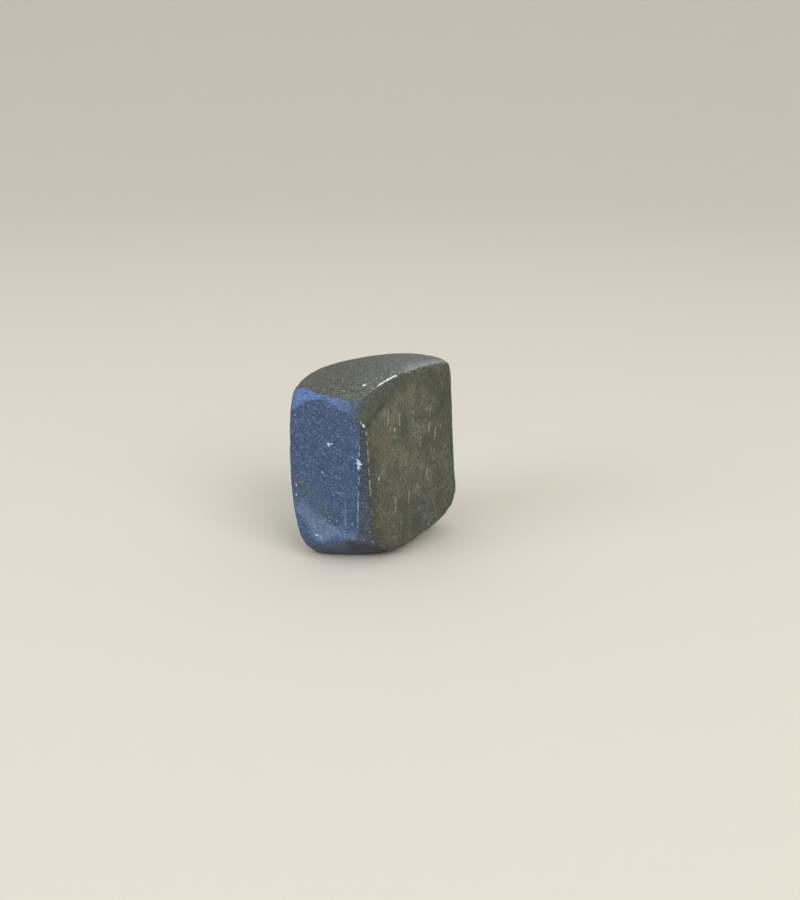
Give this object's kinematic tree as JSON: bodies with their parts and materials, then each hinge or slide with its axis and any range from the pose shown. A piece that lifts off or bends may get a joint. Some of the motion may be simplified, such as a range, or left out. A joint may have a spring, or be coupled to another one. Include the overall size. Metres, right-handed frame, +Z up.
{
  "type": "river pebble",
  "caption": "Upright angular river pebble with flat worn faces and a rounded back, for display, scatter or use as a small weight.",
  "frame": {"origin": "middle of the stone's box at the level that it stands on", "axes": "+Z up through the crown, -Y out of the tall blue front face, +X out of the large side face"},
  "size_m": [0.0528, 0.0508, 0.072],
  "materials": {
    "stone": "matt olive-grey fine-grained rock with a weathered blue skin on its front face"
  },
  "bodies": {
    "root": {"pebble": "stone"}
  },
  "joints": []
}
